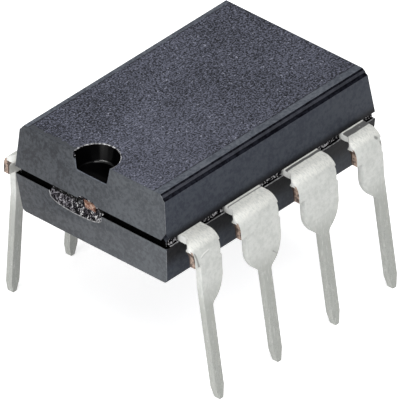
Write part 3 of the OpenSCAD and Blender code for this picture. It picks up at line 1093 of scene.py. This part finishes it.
def bare_copper(name, clean, dirty, dirty_share, size=0.16, border=None):
    """Copper. dirty_share is where in the noise the dirt ends. A border is the distance from the
    chip's middle plane at which the face's darker inner edge ends."""
    material, tree, shader, place = new_material(name)
    patches = grain(tree, place, size, detail=3, roughness=0.65)
    specks = grain(tree, place, 0.07, detail=2)
    clean_part = step(tree, patches, dirty_share - 0.1, dirty_share + 0.1)
    colour = blend_colours(tree, clean_part, dirty, clean)
    colour = blend_colours(tree, step(tree, specks, 0.62, 0.7), colour, (0.02, 0.015, 0.012))
    if border:
        from_middle = math_node(tree, "ABSOLUTE", axes(tree, place)[1])
        colour = blend_colours(tree, step(tree, from_middle, border + 0.04, border), colour, dirty)
    tree.links.new(colour, shader.inputs["Base Color"])
    shader.inputs["Metallic"].default_value = 0.2
    shader.inputs["Roughness"].default_value = 0.5
    tree.links.new(bump(tree, patches, 0.02), shader.inputs["Normal"])
    return material


CUT_BORDER = 3.76
cut_copper = bare_copper(
    "copper_cut", (0.37, 0.27, 0.215), (0.045, 0.026, 0.018), 0.47, border=CUT_BORDER
)
tins = {
    "plain": tin_plate("tin_plain"),
    "dented": tin_plate(
        "tin_dented",
        marks=[
            ((-4.20, -3.93, 5.25), (-4.08, -3.975, 4.72), 0.05, DARK_MARK),
            ((-3.95, -3.965, 4.99), (-3.83, -3.965, 5.05), 0.03, SCRATCH_SHADE),
            ((-3.83, -3.965, 5.05), (-3.64, -3.96, 5.08), 0.03, SCRATCH_SHADE),
            ((-3.96, -3.965, 5.03), (-3.84, -3.965, 5.09), 0.035, SCRATCH),
            ((-3.84, -3.965, 5.09), (-3.64, -3.955, 5.12), 0.035, SCRATCH),
        ],
    ),
    "ticked": tin_plate(
        "tin_ticked",
        band=(0.08, 0.125, 0.19),
        marks=[((-0.945, -3.99, 3.68), (-0.77, -4, 3.50), 0.04, DARK_MARK)],
    ),
    "banded": tin_plate("tin_banded", band=(0.06, 0.165, 0.11)),
    "blotched": tin_plate(
        "tin_blotched",
        band=(0.06, 0.30, 0.12),
        marks=[
            ((3.77, -3.85, 5.27), (3.80, -3.87, 5.24), 0.07, DARK_MARK),
            ((3.88, -3.93, 5.10), (3.94, -3.97, 4.97), 0.05, DARK_MARK),
        ],
    ),
}
LEAD_TINS = ["dented", "ticked", "banded", "blotched", "banded", "plain", "ticked", "plain"]
print(len(tins), "kinds of tin for", len(LEAD_TINS), "leads")

# %% [markdown]
# The CAD solids of the leads have their true form, so each is copied, merged and given the
# rounded edges that plating leaves. Only the sharp edges outside the body are bevelled, and
# the faces that the trim tool cut get copper, up to the bend, where the plating starts.
# Weighted normals keep the large faces evenly shaded beside the narrow bevels.

# %% Leads
DAM_LOW = 4.8
DAM_HIGH = 5.2
CUT_TOP = 5.28
CUT_AREA = 0.05
LEAD_EDGE = 0.022
PLATED = 0
CUT = 1
# Points that the CAD's arcs leave closer together than this stop the bevel
LEAD_WELD = 0.02
OUTSIDE = half_width - 0.1
SHARPEST = math.radians(140)
BLUNTEST = math.radians(50)


def bench_copy(node):
    """A merged copy of a CAD node, in millimetres."""
    bm = bmesh.new()
    bm.from_mesh(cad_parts[node].data)
    bmesh.ops.scale(bm, vec=(1 / MM, 1 / MM, 1 / MM), verts=bm.verts)
    bmesh.ops.remove_doubles(bm, verts=bm.verts, dist=WELD)
    bmesh.ops.dissolve_limit(
        bm, angle_limit=math.radians(1), verts=bm.verts, edges=bm.edges, delimit={"NORMAL"}
    )
    return bm


def is_dam_cut(face):
    """The faces that the trim tool left: they look along the row, at the height of the dam bar."""
    middle = face.calc_center_median()
    at_dam = DAM_LOW < middle.z < DAM_HIGH and abs(middle.y) > half_width
    return abs(face.normal.x) > 0.95 and at_dam and face.calc_area() > CUT_AREA


def lead_piece(number):
    bm = bench_copy(f"lead_{number}")
    outer_verts = [v for v in bm.verts if abs(v.co.y) > OUTSIDE]
    bmesh.ops.remove_doubles(bm, verts=outer_verts, dist=LEAD_WELD)
    for face in bm.faces:
        face.material_index = CUT if is_dam_cut(face) else PLATED
    outside = [
        e
        for e in bm.edges
        if abs(middle_of(e).y) > OUTSIDE and BLUNTEST < e.calc_face_angle(0) < SHARPEST
    ]
    surface = BVHTree.FromBMesh(bm)
    round_edges(bm, outside, LEAD_EDGE, 2, keep_clear=False)
    # At the tightest corners the bevel throws a point out, so it is put back on the lead
    for vert in bm.verts:
        nearest, _, _, away = surface.find_nearest(vert.co)
        if away > LEAD_EDGE:
            vert.co = nearest
    # The bare cut ends below the bend, where the plating starts
    bare = [f for f in bm.faces if f.material_index == CUT]
    around = once(g for f in bare for g in (f, *f.edges, *f.verts))
    bmesh.ops.bisect_plane(bm, geom=around, plane_co=(0, 0, CUT_TOP), plane_no=(0, 0, 1), dist=1e-4)
    for face in bm.faces:
        if face.calc_center_median().z > CUT_TOP:
            face.material_index = PLATED
    finishes = [tins[LEAD_TINS[number - 1]], cut_copper]
    piece = finish_piece(f"tinned_lead_{number}", bm, finishes, [f"lead_{number}"])
    piece.modifiers.new("even_shading", "WEIGHTED_NORMAL").keep_sharp = True
    return piece


for number in range(1, 9):
    lead_piece(number)

# %% [markdown]
# When the dam bar was cut, the thin web of resin between the leads broke away too, and left
# crumbs along the parting groove. Each gap gets a low ragged ridge that sits in the groove,
# and a thin fin along the groove's lower lip, pale with the lip's painted highlight. Both are
# strips of short faces, made closed solids by an extrusion and pushed about by noise.

# %% Resin flash in the groove
LEAD_PITCH = 2.54
LEADS_IN_ROW = 4
SHOULDER_HALF = 0.725
NECK_HALF = 0.18
FLASH_STEP = 0.03
RIDGE_RISE = 0.06
RIDGE_LUMP = 0.1
RIDGE_BACK = 0.05
FIN_WIDTH = 0.03
FIN_HEIGHT = 0.03
FIN_INSET = 0.007
# The ridge begins this far from the notched end, past the chipped corner
FIRST_GAP = 0.16


def flash_material():
    material, tree, shader, place = new_material("resin_flash")
    teeth = grain(tree, place, 0.055, detail=2, stretch=(1, 0.6, 0.6), distortion=0.6)
    tooth = step(tree, teeth, 0.53, 0.59)
    colour = blend_colours(tree, tooth, (0.001, 0.001, 0.002), (0.52, 0.51, 0.53))
    tree.links.new(colour, shader.inputs["Base Color"])
    shader.inputs["Roughness"].default_value = 0.5
    shader.inputs["Specular IOR Level"].default_value = 0.06
    return material


resin_flash = flash_material()


def flash_ridge(bm, x_from, x_to, side):
    """A ragged ridge along the groove's floor, from one x to the other."""
    count = max(2, round((x_to - x_from) / FLASH_STEP))
    made = bmesh.ops.create_grid(bm, x_segments=count, y_segments=6, size=0.5)["verts"]
    height = frame_top - frame_bottom - 0.04
    bmesh.ops.scale(bm, vec=(x_to - x_from, height, 1), verts=made)
    turn_all(bm, made, QUARTER_TURN, "X")
    if side > 0:
        turn_all(bm, made, 2 * QUARTER_TURN, "Z")
    floor_y = side * (half_width - groove_depth - 0.02)
    middle = Vector(((x_from + x_to) / 2, floor_y, (frame_top + frame_bottom) / 2))
    bmesh.ops.translate(bm, vec=middle, verts=made)
    front = once(f for v in made for f in v.link_faces)
    rim = {v for v in made if v.is_boundary}
    grown = bmesh.ops.extrude_face_region(bm, geom=front, use_keep_orig=True)["geom"]
    back = [g for g in grown if isinstance(g, bmesh.types.BMVert)]
    bmesh.ops.translate(bm, vec=(0, -side * RIDGE_BACK, 0), verts=back)
    for vert in made:
        if vert not in rim:
            crumbs = noise.fractal(vert.co / RIDGE_LUMP, 0.6, 2.1, 3)
            vert.co.y += side * RIDGE_RISE * (1 + crumbs)


def flash_fin(bm, x_from, x_to, side):
    """A thin fin on the lower lip of the groove, pale with the lip's painted highlight."""
    count = max(2, round((x_to - x_from) / FLASH_STEP))
    low = bmesh.ops.create_grid(bm, x_segments=count, y_segments=1, size=0.5)["verts"]
    bmesh.ops.scale(bm, vec=(x_to - x_from, FIN_WIDTH, 1), verts=low)
    fin_y = side * (half_width - FIN_INSET - FIN_WIDTH / 2)
    middle = Vector(((x_from + x_to) / 2, fin_y, frame_bottom - 0.01))
    bmesh.ops.translate(bm, vec=middle, verts=low)
    underside = once(f for v in low for f in v.link_faces)
    grown = bmesh.ops.extrude_face_region(bm, geom=underside, use_keep_orig=True)["geom"]
    high = [g for g in grown if isinstance(g, bmesh.types.BMVert)]
    for vert in high:
        vert.co.z += FIN_HEIGHT * (1 + 0.6 * noise.noise(vert.co / 0.12))
    for vert in low + high:
        vert.co.y -= side * 0.02 * abs(noise.noise(vert.co / 0.08))
    for face in once(f for v in low + high for f in v.link_faces):
        face.material_index = 1


def parting_flash():
    bm = bmesh.new()
    # The first and the last shoulder of a row are only half as wide
    starts, ends = [], []
    last = LEADS_IN_ROW - 1
    for count in range(LEADS_IN_ROW):
        x = (count - last / 2) * LEAD_PITCH
        starts.append(x - (NECK_HALF if count == 0 else SHOULDER_HALF))
        ends.append(x + (NECK_HALF if count == last else SHOULDER_HALF))
    gaps = list(zip([FIRST_GAP - half_length, *ends], [*starts, half_length]))
    for side in (-1, 1):
        for x_from, x_to in gaps:
            flash_ridge(bm, x_from + 0.02, x_to - 0.02, side)
            flash_fin(bm, x_from + 0.03, x_to - 0.03, side)
    bmesh.ops.recalc_face_normals(bm, faces=bm.faces)
    return finish_piece("parting_flash", bm, [resin_flash, resin_lip_highlight])


parting_flash()

# %% [markdown]
# The tie bar of the die paddle comes out through the broken gate. It was snapped off with the
# runner, so its end is a small torn lump of fresh copper. The end of the bar is cut into many
# small faces, rounded off towards its edges and made uneven by noise.

# %% Torn end of the tie bar


def inner_metal(name, colour, tarnish, roughness, size):
    material, tree, shader, place = new_material(name)
    clouds = grain(tree, place, size, detail=3)
    tree.links.new(blend_colours(tree, clouds, colour, tarnish), shader.inputs["Base Color"])
    shader.inputs["Metallic"].default_value = 1.0
    shader.inputs["Roughness"].default_value = roughness
    tree.links.new(bump(tree, grain(tree, place, 0.03), 0.002), shader.inputs["Normal"])
    return material


paddle_copper = inner_metal("paddle_copper", (0.75, 0.42, 0.28), (0.55, 0.30, 0.20), 0.4, 0.4)
fresh_copper = bare_copper("copper_torn", (0.47, 0.325, 0.245), (0.16, 0.065, 0.040), 0.55, size=0.10)
TORN_LENGTH = 0.12
TIE_BAR_HALF = 0.225
FRAME_HALF = 0.125
TORN_LUMP = 0.12
TORN_RAGGED = 0.06
ROUND_OFF = 0.05


def torn_paddle():
    """A copy of the paddle whose tie bar ends in a torn and rounded lump at the notched end."""
    bm = bench_copy("die_paddle")
    torn_x = TORN_LENGTH - half_length
    cut = bmesh.ops.bisect_plane(
        bm,
        geom=[*bm.verts, *bm.edges, *bm.faces],
        plane_co=(torn_x, 0, 0),
        plane_no=(1, 0, 0),
        dist=1e-5,
    )["geom_cut"]
    held = {g for g in cut if isinstance(g, bmesh.types.BMVert)}
    end_face = min(bm.faces, key=lambda f: f.calc_center_median().x)
    stub = once(f for e in end_face.edges for f in e.link_faces)
    edges = once(e for f in stub for e in f.edges)
    bmesh.ops.subdivide_edges(bm, edges=edges, cuts=11, use_grid_fill=True)
    for vert in bm.verts:
        if vert.co.x > torn_x - SAME_PLACE or vert in held:
            continue
        from_end = (vert.co.x + half_length) / TORN_LENGTH
        middle = Vector((vert.co.x, TIE_BAR_Y, (frame_top + frame_bottom) / 2))
        across = vert.co - middle
        edge = min(1.0, (abs(across.y) / TIE_BAR_HALF) ** 3 + (abs(across.z) / FRAME_HALF) ** 4)
        vert.co.x += ROUND_OFF * (1 - from_end) * edge
        vert.co += (1 - from_end) * TORN_RAGGED * push(vert.co / TORN_LUMP)
        vert.co.x = max(vert.co.x, -half_length)
    bmesh.ops.recalc_face_normals(bm, faces=bm.faces)
    for face in bm.faces:
        face.material_index = 1 if face.calc_center_median().x < torn_x else 0
    finishes = [paddle_copper, fresh_copper]
    return finish_piece("copper_paddle", bm, finishes, ["die_paddle"])


torn_paddle()

# %% [markdown]
# Inside the moulding lie the die paddle, the die, its glue and eight gold wires. Nothing of them
# is seen in a whole chip, but each has its own finish for anyone who takes the body away.

# %% Finishes of the inner pieces
BLOCKS_PER_METRE = 9000


def silicon_face():
    """Dark blue-grey silicon with the faint blocks of a circuit on it."""
    material, tree, shader, place = new_material("silicon_face")
    scale = (BLOCKS_PER_METRE, BLOCKS_PER_METRE, 1)
    mapping = add(tree, "ShaderNodeMapping", {"Vector": place, "Scale": scale})
    blocks = add(
        tree, "ShaderNodeTexVoronoi", {"Vector": mapping.outputs[0], "Scale": 1.0}, distance="CHEBYCHEV"
    ).outputs["Distance"]
    colour = blend_colours(tree, step(tree, blocks, 0.2, 0.5), (0.05, 0.06, 0.10), (0.13, 0.13, 0.17))
    tree.links.new(colour, shader.inputs["Base Color"])
    shader.inputs["Metallic"].default_value = 0.7
    shader.inputs["Roughness"].default_value = 0.25
    return material


INNER_FINISHES = {
    "die_attach": inner_metal("silver_glue", (0.62, 0.62, 0.63), (0.45, 0.45, 0.46), 0.6, 0.08),
    "silicon_die": silicon_face(),
}
gold = inner_metal("gold_wire", (0.95, 0.70, 0.28), (0.80, 0.56, 0.20), 0.25, 0.1)
for number in range(1, 9):
    INNER_FINISHES[f"bond_wire_{number}"] = gold
for node, finish in INNER_FINISHES.items():
    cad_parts[node].material_slots[0].material = finish
print("finishes on", len(INNER_FINISHES), "inner nodes")

# %% [markdown]
# The chip stands on a plain white table in even studio light. The table shows white to the
# camera because its own colour is white and it gives a little light to camera and mirror
# rays, and it still takes the chip's shadow. The world is white to the camera too, and lights
# the chip from all sides at a lower level.

# %% Table and world
TABLE_HALF = 0.25  # metres, for the table never stands on the bench
TABLE_GLOW = 0.62
WORLD_LEVEL = 0.35


def white_table():
    bm = bmesh.new()
    bmesh.ops.create_grid(bm, x_segments=1, y_segments=1, size=TABLE_HALF)
    material, tree, shader, place = new_material("table_white")
    clouds = grain(tree, place, 30, detail=2)
    colour = blend_colours(tree, clouds, (0.86, 0.86, 0.86), (0.9, 0.9, 0.9))
    tree.links.new(colour, shader.inputs["Base Color"])
    shader.inputs["Roughness"].default_value = 0.9
    shader.inputs["Specular IOR Level"].default_value = 0.0
    path = add(tree, "ShaderNodeLightPath")
    seen = path.outputs["Is Camera Ray"]
    for ray in ("Is Glossy Ray", "Is Transmission Ray"):
        seen = math_node(tree, "MAXIMUM", seen, path.outputs[ray])
    shader.inputs["Emission Color"].default_value = (1, 1, 1, 1)
    tree.links.new(times(tree, seen, TABLE_GLOW), shader.inputs["Emission Strength"])
    table = bench_object("table", bm, [material])
    return table


def studio_world(level):
    world = bpy.data.worlds.new("studio")
    bpy.context.scene.world = world
    world.use_nodes = True
    tree = world.node_tree
    background = tree.nodes["Background"]
    background.inputs["Color"].default_value = (1, 1, 1, 1)
    path = add(tree, "ShaderNodeLightPath")
    through = path.outputs["Is Transmission Ray"]
    seen = math_node(tree, "MAXIMUM", path.outputs["Is Camera Ray"], through)
    strength = add(
        tree, "ShaderNodeMapRange", {"Value": seen, "To Min": level, "To Max": 1.0}
    ).outputs["Result"]
    tree.links.new(strength, background.inputs["Strength"])


white_table()
studio_world(WORLD_LEVEL)
print("white table, world at", WORLD_LEVEL)

# %% [markdown]
# Four square lamps light it. Each is set by the level that it gives on a surface that faces it,
# where 1 shows a white surface as white, so the finishes look much as they are written. The
# strongest hangs overhead, and one nearly as strong stands beyond the notched end, which is
# partly why that end is lighter than the long sides; the rest is the painted sheen of its
# finish. A small lamp beside it puts the bright spot at the foot of the notch, and a faint one
# fills the front.

# %% Lamps


def soft_box(name, azimuth, elevation, distance, size, level):
    """A square lamp that faces the chip. Azimuth 0 is the camera's side of Y, and 90 is +X."""
    a, e = math.radians(azimuth), math.radians(elevation)
    towards = Vector((math.sin(a) * math.cos(e), -math.cos(a) * math.cos(e), math.sin(e)))
    data = bpy.data.lights.new(name, "AREA")
    data.shape = "SQUARE"
    data.size = size
    data.energy = level * math.pi**2 * distance**2
    lamp = bpy.data.objects.new(name, data)
    bpy.context.scene.collection.objects.link(lamp)
    lamp.location = towards * distance + Vector((0, 0, 0.005))
    lamp.rotation_mode = "QUATERNION"
    lamp.rotation_quaternion = towards.to_track_quat("Z", "Y")
    return lamp


lamps = [
    soft_box("key_end", -84, 16, 0.30, 0.20, 0.60),
    soft_box("spark", -79, 10, 0.30, 0.04, 0.08),
    soft_box("overhead", -15, 68, 0.30, 0.25, 0.64),
    soft_box("front_fill", 10, 25, 0.35, 0.25, 0.04),
]
print("lamps:", [lamp.name for lamp in lamps])

bpy.context.scene.view_settings.view_transform = "Standard"
